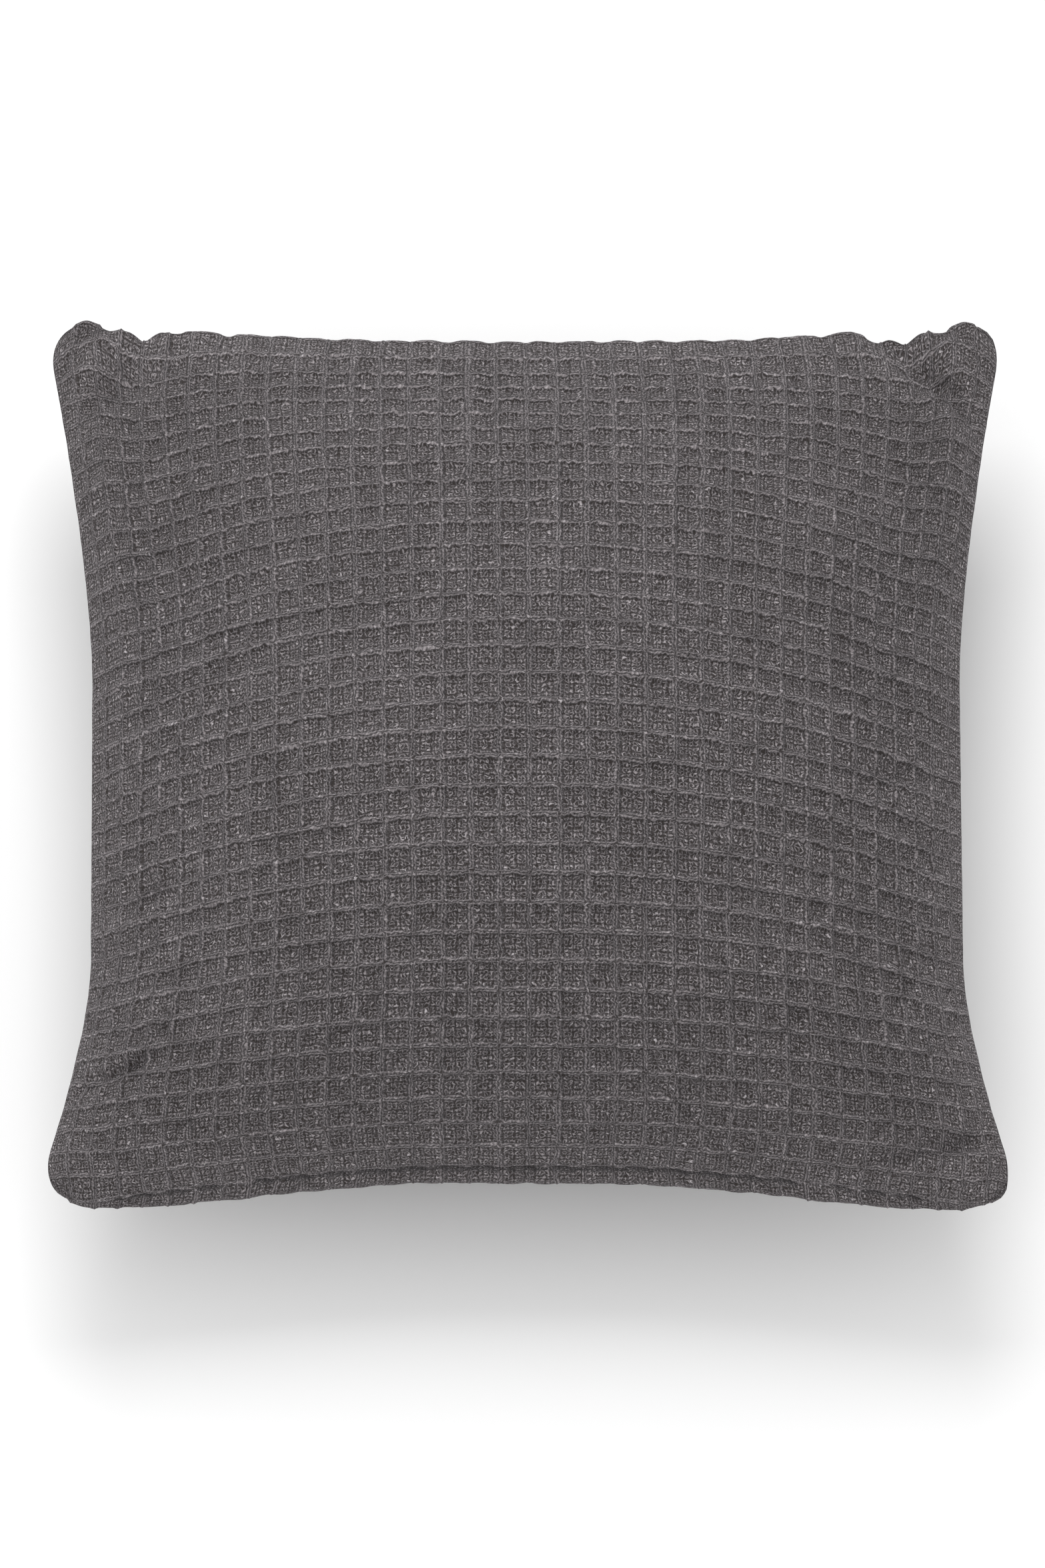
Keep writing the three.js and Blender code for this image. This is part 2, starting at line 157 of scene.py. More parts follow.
class PillowColours(PropertyGroup):
    """Colours of the cloths and fittings."""

    # painted highlight: the lit tops of the floats, lighter because of how light falls on them
    yarn_painted_highlight: FloatVectorProperty(
        name="Yarn, light", description="Tops of the floats", subtype="COLOR", default=(0.5, 0.47, 0.485)
    )
    yarn: FloatVectorProperty(
        name="Yarn", description="Body of the yarns", subtype="COLOR", default=(0.215, 0.195, 0.2)
    )
    # painted shade: the shaded gaps between the yarns, dark because light does not reach into them
    yarn_painted_gap_shade: FloatVectorProperty(
        name="Yarn, dark", description="Gaps between the yarns", subtype="COLOR",
        default=(0.035, 0.029, 0.027)
    )
    thread: FloatVectorProperty(
        name="Thread", description="Sewing thread", subtype="COLOR", default=(0.085, 0.077, 0.079)
    )
    tape: FloatVectorProperty(
        name="Zip tape", description="Woven zip tape", subtype="COLOR", default=(0.05, 0.045, 0.048)
    )
    metal: FloatVectorProperty(
        name="Zip metal", description="Lacquered slider and pull", subtype="COLOR",
        default=(0.16, 0.157, 0.162)
    )
    ticking: FloatVectorProperty(
        name="Ticking", description="Cloth of the insert", subtype="COLOR", default=(0.83, 0.81, 0.76)
    )


class PillowStage(PropertyGroup):
    """The camera's view."""

    tilt: FloatProperty(
        name="Tilt", description="View off the panel's normal", default=math.radians(24), subtype="ANGLE"
    )
    turn: FloatProperty(
        name="Turn", description="View to one side of the middle", default=math.radians(-0.8),
        subtype="ANGLE"
    )
    roll: FloatProperty(
        name="Roll", description="Turn of the picture", default=math.radians(0.2), subtype="ANGLE"
    )
    distance: FloatProperty(
        name="Distance", description="Camera to the pillow", default=10.0, unit="LENGTH"
    )
    frame_width: FloatProperty(
        name="Frame width", description="Width that the picture covers at the pillow", default=0.479,
        unit="LENGTH"
    )


# ---------------------------------------------------------------- shader expressions


class Value:
    """A shader socket that takes part in arithmetic: each operation adds its Math node."""

    def __init__(self, recipe, socket):
        self.recipe = recipe
        self.socket = socket

    def math(self, operation, *others):
        inputs = {slot: value for slot, value in enumerate((self, *others))}
        return self.recipe.node("ShaderNodeMath", {"operation": operation}, inputs)

    def __add__(self, other):
        return self.math("ADD", other)

    def __radd__(self, other):
        return self.math("ADD", other)

    def __sub__(self, other):
        return self.math("SUBTRACT", other)

    def __rsub__(self, other):
        return self.recipe.constant(other).math("SUBTRACT", self)

    def __mul__(self, other):
        return self.math("MULTIPLY", other)

    def __rmul__(self, other):
        return self.math("MULTIPLY", other)

    def __truediv__(self, other):
        return self.math("DIVIDE", other)

    def __gt__(self, other):
        return self.math("GREATER_THAN", other)

    def __abs__(self):
        return self.math("ABSOLUTE")

    def floor(self):
        return self.math("FLOOR")

    def fract(self):
        return self.math("FRACT")

    def cos(self):
        return self.math("COSINE")

    def at_least(self, other):
        return self.math("MAXIMUM", other)

    def at_most(self, other):
        return self.math("MINIMUM", other)

    def between(self, low, high):
        return self.at_least(low).at_most(high)


class Recipe:
    """A material and its nodes, which all come from one method."""

    def __init__(self, name):
        self.material = bpy.data.materials.new(name)
        self.material.use_nodes = True
        self.tree = self.material.node_tree
        self.tree.nodes.clear()

    def node(self, kind, settings=None, inputs=None, output=0):
        node = self.tree.nodes.new(kind)
        for name, value in (settings or {}).items():
            if name == "stops":
                self.set_stops(node.color_ramp, value)
            else:
                setattr(node, name, value)
        for slot, value in (inputs or {}).items():
            if isinstance(value, Value):
                self.tree.links.new(value.socket, node.inputs[slot])
            else:
                node.inputs[slot].default_value = value
        return Value(self, node.outputs[output]) if node.outputs else None

    @staticmethod
    def set_stops(ramp, stops):
        while len(ramp.elements) > 1:
            ramp.elements.remove(ramp.elements[-1])
        ramp.elements[0].position, ramp.elements[0].color = stops[0]
        for position, colour in stops[1:]:
            ramp.elements.new(position).color = colour

    def constant(self, value):
        """A number as a Math node, so that it can stand on the left of an expression."""
        return self.node("ShaderNodeMath", {"operation": "ADD"}, {0: value, 1: 0.0})

    def vector(self, x=0.0, y=0.0, z=0.0):
        return self.node("ShaderNodeCombineXYZ", inputs={0: x, 1: y, 2: z})

    def split(self, vector):
        return [self.node("ShaderNodeSeparateXYZ", inputs={0: vector}, output=axis) for axis in range(3)]

    def vector_math(self, operation, first, second):
        return self.node("ShaderNodeVectorMath", {"operation": operation}, {0: first, 1: second})

    def mix(self, factor, first, second):
        """A colour between two colours."""
        settings = {"data_type": "RGBA"}
        return self.node("ShaderNodeMix", settings, {0: factor, 6: first, 7: second}, output=2)

    def ramp(self, factor, stops):
        return self.node("ShaderNodeValToRGB", {"stops": stops}, {0: factor})

    def noise(self, vector, scale, detail=2.0, roughness=0.5, output=0):
        settings = {"noise_dimensions": "3D"}
        inputs = {"Vector": vector, "Scale": scale, "Detail": detail, "Roughness": roughness}
        return self.node("ShaderNodeTexNoise", settings, inputs, output)

    def random(self, vector):
        return self.node("ShaderNodeTexWhiteNoise", {"noise_dimensions": "3D"}, {"Vector": vector})

    def bump(self, height, distance, strength=1.0):
        inputs = {"Strength": strength, "Distance": distance, "Height": height}
        return self.node("ShaderNodeBump", inputs=inputs)

    def finish(self, **inputs):
        """Closes the material with a Principled shader."""
        named = {name.replace("_", " "): value for name, value in inputs.items()}
        shader = self.node("ShaderNodeBsdfPrincipled", inputs=named)
        self.node("ShaderNodeOutputMaterial", inputs={0: shader})
        return self.material


def opaque(colour, gain=1.0):
    return (colour[0] * gain, colour[1] * gain, colour[2] * gain, 1.0)


# ---------------------------------------------------------------- materials


def honeycomb_cloth(name, colours, cloth):
    """Honeycomb weave on the panel's own UV map: two yarns float along each ridge, and short strands lie in
    the pits."""
    recipe = Recipe(name)
    uv = recipe.node("ShaderNodeUVMap", {"uv_map": "cloth"})
    count = float(cloth.cells * cloth.yarns)
    yarns = float(cloth.yarns)
    half = (0.5, 0.5, 0.5)
    slow = recipe.vector_math("SUBTRACT", recipe.noise(uv, count / 6, detail=1.0, output=1), half)
    quick = recipe.vector_math("SUBTRACT", recipe.noise(uv, count / 1.6, detail=1.0, output=1), half)
    slow = recipe.vector_math("MULTIPLY", slow, (1.5, 1.5, 0.0))
    quick = recipe.vector_math("MULTIPLY", quick, (1.9, 1.9, 0.0))
    place = recipe.vector_math("MULTIPLY", uv, (count, count, 0.0))
    place = recipe.vector_math("ADD", place, recipe.vector_math("ADD", slow, quick))
    across, along, _ = recipe.split(place)

    def from_pit(where):
        """0 in the middle of a cell, 1 on the ridge between two cells."""
        return abs((where / yarns).fract() - 0.5) * 2.0

    def floats(number, length):
        """Above 0 where a yarn floats over the others, which is along a ridge and short of its ends."""
        return ((from_pit(number + 0.5) - 0.78) * 7.2 - from_pit(length)).at_least(0.0) * 6.0

    warp_number, weft_number = across.floor(), along.floor()
    over = floats(warp_number, along) - floats(weft_number, across)
    ridge = (abs(over) * 0.9).at_most(1.0)
    warp_on_top = (over * 8.0 + 0.5).between(0.0, 1.0)

    def rounded(side):
        """A float's own section: 1 along its middle and 0 in the gaps beside it."""
        middle = (side.fract() - 0.5) * 2.1
        return 1.0 - middle * middle

    def blend(share, first, second):
        return share * (first - second) + second

    def strands(seed, tall):
        """Short strands over dark gaps: one to each square, upright or level, leaning either way."""
        where = recipe.vector_math("ADD", place, (seed * 0.37, seed * 0.61, 0.0))
        squares = (0.8, 0.55, 0.0) if tall else (0.55, 0.8, 0.0)
        x, y, _ = recipe.split(recipe.vector_math("MULTIPLY", where, squares))
        square = recipe.vector(x.floor(), y.floor(), seed)
        chance = recipe.random(square)
        lean = ((chance * 7.0).fract() > 0.5) * 2.0 - 1.0
        lean = lean * (chance * 0.4 + 0.3)
        x = x.fract() - 0.5 + ((chance * 13.0).fract() - 0.5) * 0.2
        y = y.fract() - 0.5 + ((chance * 29.0).fract() - 0.5) * 0.2
        side, length = (x - y * lean, y + x * lean) if tall else (y - x * lean, x + y * lean)
        strand = (1.25 - side * side * 15.0 - length * length * 3.0).between(0.0, 1.0)
        return strand * ((chance * 5.0).fract() * 0.6 + 0.6)

    weft_twist = (across * 4.6 - along * 3.4).cos() * (1.0 - warp_on_top)
    twist = (along * 4.6 + across * 3.4).cos() * warp_on_top + weft_twist
    pit = strands(3.0, True).at_least(strands(8.0, False))
    chance = recipe.random(recipe.vector(warp_number, weft_number, 3.0))
    height = blend(ridge, blend(warp_on_top, rounded(across), rounded(along)) + twist * 0.28, pit)

    warp_tone = recipe.random(recipe.vector(warp_number, (along / 7.0 + warp_number * 0.37).floor(), 1.0))
    weft_tone = recipe.random(recipe.vector(weft_number, (across / 7.0 + weft_number * 0.37).floor(), 5.0))
    warp_fibre = recipe.noise(recipe.vector(across * 3.0, along * 0.8, 0.0), 1.0, detail=3.0, roughness=0.6)
    weft_fibre = recipe.noise(recipe.vector(across * 0.8, along * 3.0, 9.0), 1.0, detail=3.0, roughness=0.6)
    fuzz = recipe.noise(place, 1.6, detail=4.0, roughness=0.7)
    fibre = blend(ridge, blend(warp_on_top, warp_fibre, weft_fibre), fuzz)
    tone = blend(ridge, blend(warp_on_top, warp_tone, weft_tone), chance)
    # painted shadow: a dark band just under each ridge that runs across, where the ridge shades the cell
    # below it
    painted_ridge_shadow = (1.0 - abs((along / yarns).fract() - 0.86) * 14.0).between(0.0, 1.0)

    patch = recipe.noise(uv, 9.0, detail=4.0)
    # painted light: the higher a yarn or ridge stands, the lighter it is painted, as light falls on the
    # relief; fibre, tone and patch are the yarn's own tone that differs at random
    lit = height * (0.68 - ridge * 0.18) + 0.1 + ridge * 0.03 + (fibre - 0.5) * 0.9 + (tone - 0.5) * 0.2
    # painted shade: the middle of each cell's pit is darkened, and so is the band under each ridge; patch
    # is the cloth's own uneven tone
    depth = 1.0 - from_pit(across).at_least(from_pit(along))
    lit = lit - painted_ridge_shadow * 0.12 - depth * 0.07 + (patch - 0.5) * 0.15
    # painted light: floats that run across are made lighter than those that run up and down, as if lit from
    # above
    lit = (lit + ridge * (0.07 - warp_on_top * 0.07)).between(0.0, 1.0)
    # painted light and shade: the ramp runs from painted gap shade through a shaded and a lit copy of the
    # yarn colour to a painted highlight
    stops = [
        (0.0, opaque(colours.yarn_painted_gap_shade)),
        (0.3, opaque(colours.yarn, 0.55)),
        (0.6, opaque(colours.yarn)),
        (0.8, opaque(colours.yarn, 1.5)),
        (1.0, opaque(colours.yarn_painted_highlight)),
    ]
    colour = recipe.ramp(lit, stops)
    lint = (recipe.noise(uv, 260.0, detail=0.0) - 0.83).between(0.0, 1.0) * 9.0
    colour = recipe.mix(lint.between(0.0, 0.7), colour, (0.6, 0.58, 0.57, 1.0))
    normal = recipe.bump(height * 0.8 + fibre * 0.5, 0.0014)
    return recipe.finish(
        Base_Color=colour,
        Roughness=0.93,
        Normal=normal,
        Sheen_Weight=0.1,
        Sheen_Roughness=0.5,
        Sheen_Tint=(0.8, 0.79, 0.84, 1.0),
        Specular_IOR_Level=0.2,
    )


def plain_cloth(name, colour, pitch, roughness=0.9):
    """A fine plain weave on Object coordinates, for tape, ticking, label and thread."""
    recipe = Recipe(name)
    place = recipe.node("ShaderNodeTexCoord", output=3)
    x, y, z = recipe.split(place)
    turn = 2 * math.pi / pitch
    weave = ((x + z) * turn).cos() * (y * turn).cos()
    fibre = recipe.noise(place, 1.3 / pitch, detail=3.0)
    tone = (weave * 0.22 + fibre * 0.7 + 0.15).between(0.0, 1.0)
    stops = [(0.0, opaque(colour, 0.55)), (0.55, opaque(colour)), (1.0, opaque(colour, 1.25))]
    shade = recipe.ramp(tone, stops)
    normal = recipe.bump(weave * 0.5 + fibre * 0.5, pitch * 0.25)
    return recipe.finish(Base_Color=shade, Roughness=roughness, Normal=normal, Specular_IOR_Level=0.25)


def lacquered_metal(name, colour):
    """Dark lacquer over metal, with fine scratches and paler wear."""
    recipe = Recipe(name)
    place = recipe.node("ShaderNodeTexCoord", output=3)
    x, y, z = recipe.split(place)
    scratch = recipe.noise(recipe.vector(x * 4.0, y, z * 0.4), 1500.0, detail=4.0)
    cloud = recipe.noise(place, 260.0, detail=3.0)
    wear = ((scratch + cloud - 1.12) * 6.0).between(0.0, 1.0)
    shade = recipe.mix(wear, opaque(colour), opaque(colour, 3.2))
    roughness = 0.32 + cloud * 0.25
    normal = recipe.bump(scratch, 0.00003)
    return recipe.finish(Base_Color=shade, Roughness=roughness, Metallic=0.85, Normal=normal)


def moulded_nylon(name, colour):
    """Matt moulded plastic with a faint grain."""
    recipe = Recipe(name)
    place = recipe.node("ShaderNodeTexCoord", output=3)
    grain = recipe.noise(place, 2200.0, detail=3.0)
    shade = recipe.mix(grain, opaque(colour, 0.8), opaque(colour, 1.3))
    normal = recipe.bump(grain, 0.00004)
    return recipe.finish(Base_Color=shade, Roughness=0.35 + grain * 0.25, Normal=normal)


def loose_fibre(name, colour):
    """Crimped polyester fibre, soft and matt."""
    recipe = Recipe(name)
    place = recipe.node("ShaderNodeTexCoord", output=3)
    curl = recipe.noise(place, 160.0, detail=6.0, roughness=0.7)
    fine = recipe.noise(place, 900.0, detail=4.0, roughness=0.7)
    shade = recipe.mix(curl * 0.6 + fine * 0.4, opaque(colour, 0.75), opaque(colour, 1.08))
    return recipe.finish(Base_Color=shade, Roughness=1.0, Normal=recipe.bump(curl + fine * 0.4, 0.003))


# ---------------------------------------------------------------- the filled cover


GRID = 54  # squares along each side of a panel while it is filled
FINE = 3  # subdivisions after that: 12 squares to a honeycomb cell
DRAW_FRAMES = 12  # while the seams are drawn in
FILL_FRAMES = 32
FRONT, BACK = 0, 1

# Creases that cut off the filled corners: from and to on the flat panel, width there, and depth.
CREASES = (
    ((0.84, 0.985), (0.985, 0.86), 0.014, 6 * MM),
    ((0.03, 0.86), (0.17, 0.955), 0.02, 4 * MM),
    ((0.015, 0.13), (0.13, 0.16), 0.008, 4 * MM),
    ((0.83, 0.03), (0.985, 0.08), 0.012, 4 * MM),
)


def ease(place, other, cloth):
    """Place across a panel, from -1 to 1: cells are widest in the middle, and less so along the seams."""
    gain = cloth.stretch + (cloth.seam_stretch - cloth.stretch) * other**4
    return (1 + gain) * place - gain * place**3


def flare(along, straight):
    """From 0 on a seam's straight stretch to 1 at its corners."""
    return np.clip((np.abs(along) - straight) / (CORNER_START - straight), 0, 1) ** FLARE_POWER


def plan(s, t, cloth):
    """The filled cover's plan: points (s, t) from -1 to 1 on a flat panel, drawn in between the corners."""
    reach_y = REACH + cloth.end_reach
    across = REACH * ease(s, t, cloth)
    along = reach_y * ease(t, s, cloth)
    side_draw = cloth.side_draw * (1 - flare(along, np.where(t > 0, SIDE_STRAIGHT, SIDE_LOW_STRAIGHT)))
    straight = np.where(t > 0, ZIP_STRAIGHT, END_STRAIGHT)
    end_draw = (reach_y - ZIP_Y) * (1 - flare(across, straight))
    return across * (1 - side_draw / REACH), along * (1 - end_draw / reach_y)


def round_corners(s, t, cloth):
    """Draws the points at each corner in from the square onto that corner's own rounding."""
    left = s < 0
    low = t < 0
    radii = np.array(cloth.corner_radii)[left + 2 * low] / (cloth.flat_size / 2)
    over_s = np.maximum(0, np.abs(s) - (1 - radii))
    over_t = np.maximum(0, np.abs(t) - (1 - radii))
    far = np.hypot(over_s, over_t)
    share = np.where(far > 0, np.maximum(over_s, over_t) / np.maximum(far, 1e-9), 1)
    return s - np.sign(s) * over_s * (1 - share), t - np.sign(t) * over_t * (1 - share)


def sewn_cover():
    """Two flat square panels sewn together at their edges, with the cloth's own UV map from 0 to 1."""
    mesh = bmesh.new()
    uv = mesh.loops.layers.uv.new("cloth")
    side_of = mesh.faces.layers.int.new("side")
    for side in (FRONT, BACK):
        made = bmesh.ops.create_grid(mesh, x_segments=GRID, y_segments=GRID, size=1)["verts"]
        faces = {face for vert in made for face in vert.link_faces}
        for face in faces:
            face[side_of] = side
            for loop in face.loops:
                loop[uv].uv = (loop.vert.co.x / 2 + 0.5, loop.vert.co.y / 2 + 0.5)
        for vert in made:
            puff = START_PUFF * (1 - vert.co.x**4) * (1 - vert.co.y**4)
            vert.co.z = puff if side == FRONT else -puff
        if side == BACK:
            bmesh.ops.reverse_faces(mesh, faces=list(faces))
    bmesh.ops.remove_doubles(mesh, verts=mesh.verts, dist=1e-6)
    data = bpy.data.meshes.new("sewn_cover")
    mesh.to_mesh(data)
    mesh.free()
    return data


def points_of(data):
    points = np.empty(len(data.vertices) * 3)
    data.vertices.foreach_get("co", points)
    return points.reshape(-1, 3)


def set_points(data, points):
    data.vertices.foreach_set("co", points.ravel())
    data.update()


def applied(thing):
    """The mesh of an object with its modifiers applied."""
    view = bpy.context.evaluated_depsgraph_get()
    shown = thing.evaluated_get(view)
    return bpy.data.meshes.new_from_object(shown, preserve_all_data_layers=True, depsgraph=view)


def fill_cover(data, cloth):
    """Fills the sewn cover by cloth simulation with pressure inside, while its seams are drawn in."""
    points = points_of(data)
    s, t, puff = points.T.copy()
    seam = np.flatnonzero((np.abs(s) > 1 - 1e-6) | (np.abs(t) > 1 - 1e-6))
    s, t = round_corners(s, t, cloth)
    drawn = np.column_stack([*plan(s, t, cloth), puff])
    flat = drawn * (1 + cloth.slack, 1 + cloth.slack, 1)
    set_points(data, flat)

    scene = bpy.context.scene
    cover = bpy.data.objects.new("filling_cover", data)
    scene.collection.objects.link(cover)
    cover.shape_key_add(name="flat")
    key = cover.shape_key_add(name="drawn_in")
    key.data.foreach_set("co", drawn.ravel())
    key.value = 0
    key.keyframe_insert("value", frame=1)
    key.value = 1
    key.keyframe_insert("value", frame=DRAW_FRAMES)
    pins = cover.vertex_groups.new(name="seam")
    pins.add([int(index) for index in seam], 1.0, "REPLACE")
    press(cover)
    for step in range(1, FILL_FRAMES + 1):
        scene.frame_set(step)
    filled = applied(cover)
    scene.frame_set(1)
    bpy.data.objects.remove(cover)
    return filled


def press(cover):
    """The cloth's own stiffness and the pressure of the filling."""
    cloth = cover.modifiers.new("fill", "CLOTH")
    settings = cloth.settings
    settings.quality = 8
    settings.mass = 0.3
    settings.tension_stiffness = 3
    settings.compression_stiffness = 2
    settings.shear_stiffness = 1
    settings.bending_stiffness = 1
    settings.tension_damping = 10
    settings.compression_damping = 10
    settings.shear_damping = 10
    settings.bending_damping = 2
    settings.air_damping = 6
    settings.use_pressure = True
    settings.uniform_pressure_force = 20
    settings.effector_weights.gravity = 0
    settings.vertex_group_mass = "seam"
    settings.pin_stiffness = 50
    cloth.collision_settings.use_collision = False
    cloth.point_cache.frame_start = 1
    cloth.point_cache.frame_end = FILL_FRAMES


def fit_heights(points, cloth):
    """Lifts the filled cover onto the frame's seam plane, with its crowns at the frame's heights."""
    z = points[:, 2]
    front = z * (FRONT_CROWN - cloth.relief / 2 - cloth.thickness) / z.max()
    back = z * (BACK_CROWN + PRESSED) / -z.min()
    return np.column_stack([points[:, :2], np.where(z > 0, front, back) + SEAM_Z])


def one_panel(data, side, levels):
    """One panel of the filled cover, smoothed and subdivided."""
    mesh = bmesh.new()
    mesh.from_mesh(data)
    side_of = mesh.faces.layers.int["side"]
    other = [face for face in mesh.faces if face[side_of] != side]
    bmesh.ops.delete(mesh, geom=other, context="FACES")
    panel = bpy.data.meshes.new("panel")
    mesh.to_mesh(panel)
    mesh.free()
    return subdivided(panel, levels) if levels else panel


def subdivided(data, levels):
    """A smoothly subdivided copy of a mesh."""
    holder = bpy.data.objects.new("coarse", data)
    bpy.context.scene.collection.objects.link(holder)
    smooth = holder.modifiers.new("smooth", "SUBSURF")
    smooth.levels = levels
    smooth.render_levels = levels
    smooth.use_limit_surface = False
    fine = applied(holder)
    bpy.data.objects.remove(holder)
    return fine


def uv_of_points(data):
    """Each point's place in the flat cloth, from 0 to 1 both ways."""
    loops = np.empty(len(data.loops), dtype=np.int32)
    data.loops.foreach_get("vertex_index", loops)
    uvs = np.empty(len(data.loops) * 2)
    data.uv_layers["cloth"].uv.foreach_get("vector", uvs)
    places = np.empty((len(data.vertices), 2))
    places[loops] = uvs.reshape(-1, 2)
    return places


def normals_of(data):
    normals = np.empty(len(data.vertices) * 3)
    data.vertex_normals.foreach_get("vector", normals)
    return normals.reshape(-1, 3)


def seam_distance(places, cloth):
    """How far each point is from the seam, in the flat cloth, with the rounded corners counted."""
    half, radius = cloth.flat_size / 2, sum(cloth.corner_radii) / 4
    inner = np.abs(places - 0.5) * cloth.flat_size - (half - radius)
    outside = np.hypot(*np.maximum(inner, 0).T)
    inside = np.minimum(np.maximum(inner[:, 0], inner[:, 1]), 0)
    return radius - outside - inside


def smooth_noise(places, size, seed):
    """Seeded smooth random values from -1 to 1 over the flat cloth, with size knots along each side."""
    knots = np.random.default_rng(seed).uniform(-1, 1, (size + 2, size + 2))
    grid = np.clip(places, 0, 1) * size
    low = np.floor(grid).astype(int)
    part = grid - low
    part = part * part * (3 - 2 * part)
    i, j = low.T
    u, v = part.T
    near = knots[i, j] * (1 - u) + knots[i + 1, j] * u
    far = knots[i, j + 1] * (1 - u) + knots[i + 1, j + 1] * u
    return near * (1 - v) + far * v


def honeycomb(places, cloth, seed):
    """Height of the honeycomb relief at each place, from 0 in a pit to about 1 on the middle of a ridge."""
    drift = np.column_stack([smooth_noise(places, 40, seed), smooth_noise(places, 40, seed + 1)])
    cell = places * cloth.cells + 0.06 * drift
    local = np.abs((cell % 1) - 0.5) * 2
    reach = local.max(axis=1)
    other = local.min(axis=1)
    wall = reach**4
    sag = 0.3 * other**4 * reach
    uneven = 1 + 0.2 * smooth_noise(places, cloth.cells, seed + 2)
    return (wall - sag) * uneven


def crease(places, start, end, width, depth):
    """A soft valley in the cloth along the line between two places on the flat panel."""
    start, end = np.array(start), np.array(end)
    along = end - start
    length = np.hypot(*along)
    offset = places - start
    share = offset @ along / length**2
    aside = (offset[:, 0] * along[1] - offset[:, 1] * along[0]) / length
    ends = np.clip(1 - (2 * share - 1) ** 4, 0, 1)
    return -depth * ends * np.exp(-((aside / width) ** 2))


def roll_out(points, places, side, cloth):
    """Rolls the cloth out past the end seams, so that the front hides the zip when seen from above."""
    share = np.minimum(places[:, 1], 1 - places[:, 1]) * cloth.flat_size / ROLL_PEAK
    sideways = np.abs(2 * places[:, 0] - 1)
    at_zip = places[:, 1] > 0.5
    clear = np.clip(np.abs(points[:, 2] - SEAM_Z) / CLEFT, 0, 1)
    standing = share**2 * np.exp(2 - 2 * share) * (1 - sideways**12) * np.where(at_zip, clear, 1)
    if side == FRONT:
        reach = np.where(at_zip, cloth.zip_roll * (1 + 1.6 * sideways**3), 0)
    else:
        reach = np.where(at_zip, cloth.end_roll / 3, -cloth.end_roll)
    return points + np.column_stack([0 * share, reach * standing, 0 * share])


def wrinkles(places, cloth, seed):
    """Small folds in plain cloth, with puckers where the seam gathers it. They only go inwards."""
    folds = 0.5 * smooth_noise(places, 22, seed) + 0.3 * smooth_noise(places, 70, seed + 1)
    near = np.exp(-seam_distance(places, cloth) / PUCKER_REACH)
    puckers = near * smooth_noise(places, 96, seed + 2)
    return (folds + puckers - 1.2) * FOLD_DEPTH


def press_on_floor(points, floor):
    """Flattens what would sink through the floor, softly over the last few millimetres."""
    height = points[:, 2] - floor
    low = height < PRESS_SOFT
    points[low, 2] = floor + PRESS_SOFT * np.exp((height[low] - PRESS_SOFT) / PRESS_SOFT)
    return points


def cover_panel(name, filled, side, cloth, material, seed):
    """One panel as a closed shell: woven outside, plain inside, rolled together at the seam."""
    face = one_panel(filled, side, FINE)
    places = uv_of_points(face)
    points = roll_out(points_of(face), places, side, cloth)
    normals = normals_of(face)
    distance = seam_distance(places, cloth)
    kept = BY_SEAM + (1 - BY_SEAM) * np.clip(distance / RELIEF_PRESSED, 0, 1)
    fade = np.clip(distance / RELIEF_FADE, 0, 1) * kept
    roll = np.sqrt(np.clip(1 - (1 - np.clip(distance / SEAM_ROLL, 0, 1)) ** 2, 0, 1))
    lift = roll * cloth.thickness + fade * cloth.relief * honeycomb(places, cloth, seed)
    if side == FRONT:
        lift = lift + sum(crease(places, *line) for line in CREASES)
    points = points + normals * lift[:, None]
    if side == BACK:
        points = press_on_floor(points, FLOOR + COVER_FLOOR)
    set_points(face, points)

    inner = one_panel(filled, side, 0)
    inner_places = uv_of_points(inner)
    from_seam = np.clip(seam_distance(inner_places, cloth) / INNER_FADE, 0, 1)
    shrink = INNER_AT_SEAM + (INNER_DEPTH - INNER_AT_SEAM) * from_seam
    inner_points = roll_out(points_of(inner), inner_places, side, cloth)
    inner_points = inner_points - normals_of(inner) * shrink[:, None]
    if side == BACK:
        inner_points = press_on_floor(inner_points, FLOOR + COVER_INNER_FLOOR)
    set_points(inner, inner_points)
    return closed_shell(name, face, inner, material)


def closed_shell(name, face, inner, material):
    """Joins an outer and an inner face into one closed shell along their edges."""
    mesh = bmesh.new()
    mesh.from_mesh(face)
    outer_edges = [edge for edge in mesh.edges if edge.is_boundary]
    known = set(mesh.faces)
    mesh.from_mesh(inner)
    new_faces = [item for item in mesh.faces if item not in known]
    bmesh.ops.reverse_faces(mesh, faces=new_faces)
    inner_edges = [edge for edge in mesh.edges if edge.is_boundary and edge not in set(outer_edges)]
    bmesh.ops.bridge_loops(mesh, edges=outer_edges + inner_edges)
    data = bpy.data.meshes.new(name)
    mesh.to_mesh(data)
    mesh.free()
    return placed(name, data, material)


def placed(name, data, material):
    """A mesh as a smooth object in the scene, with its material."""
    data.shade_smooth()
    data.materials.clear()
    data.materials.append(material)
    piece = bpy.data.objects.new(name, data)
    bpy.context.scene.collection.objects.link(piece)
    return piece


def filled_cover(cloth):
    """The filled cover in the frame's place. It is simulated once and kept for the pieces inside it."""
    kept = bpy.data.meshes.get("filled_cover")
    if kept:
        return kept
    filled = fill_cover(sewn_cover(), cloth)
    set_points(filled, fit_heights(points_of(filled), cloth))
    filled.name = "filled_cover"
    filled.use_fake_user = True
    return filled


